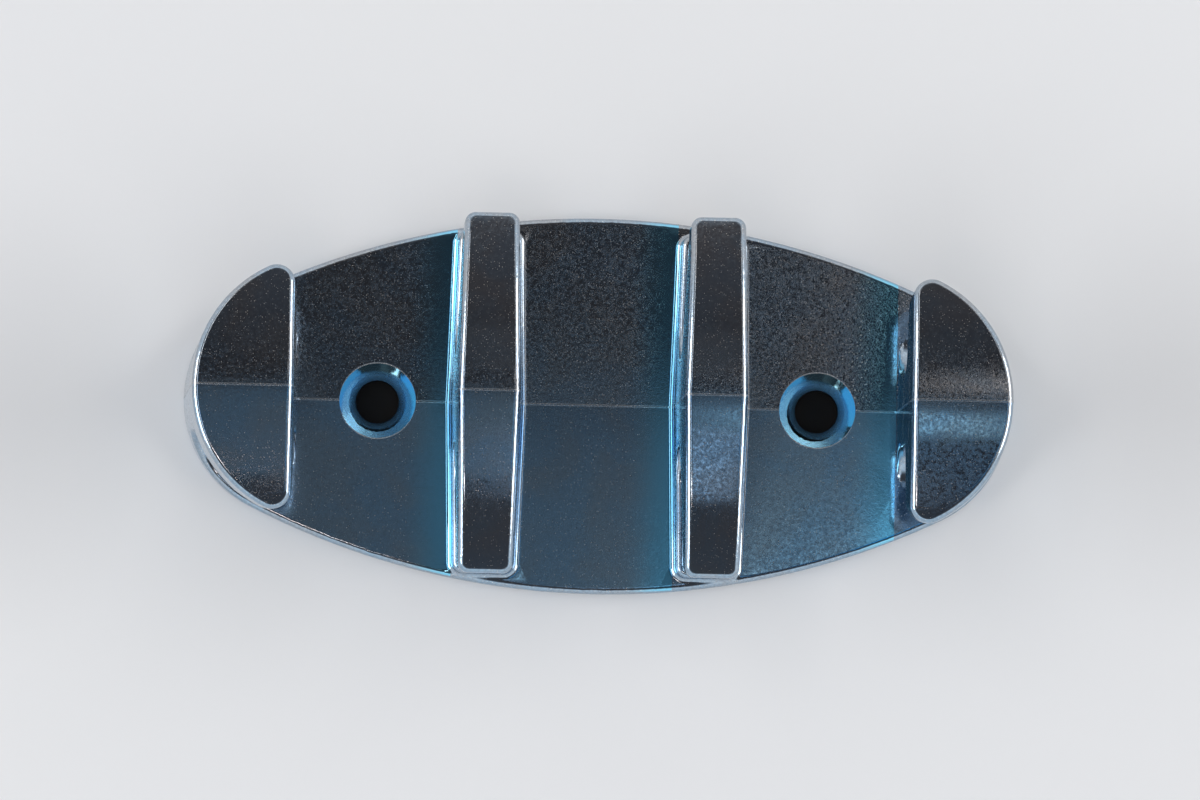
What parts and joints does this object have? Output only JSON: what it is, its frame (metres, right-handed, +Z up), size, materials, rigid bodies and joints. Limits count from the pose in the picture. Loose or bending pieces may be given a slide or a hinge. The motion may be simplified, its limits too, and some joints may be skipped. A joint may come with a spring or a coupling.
{
  "type": "zig zag cleat",
  "caption": "Low die-cast deck cleat with an oval base, countersunk screw holes and overhanging posts that jam a rope laid zigzag between them.",
  "frame": {"origin": "centre of the base's flat underside, on the deck", "axes": "+X along the cleat, +Y across it, +Z up from the deck"},
  "size_m": [0.1016, 0.0462, 0.0254],
  "materials": {
    "plated_zinc": "bright plating over a zinc die casting, with a fine cast grain showing through"
  },
  "bodies": {
    "root": {"cleat_casting": "plated_zinc"}
  },
  "joints": []
}
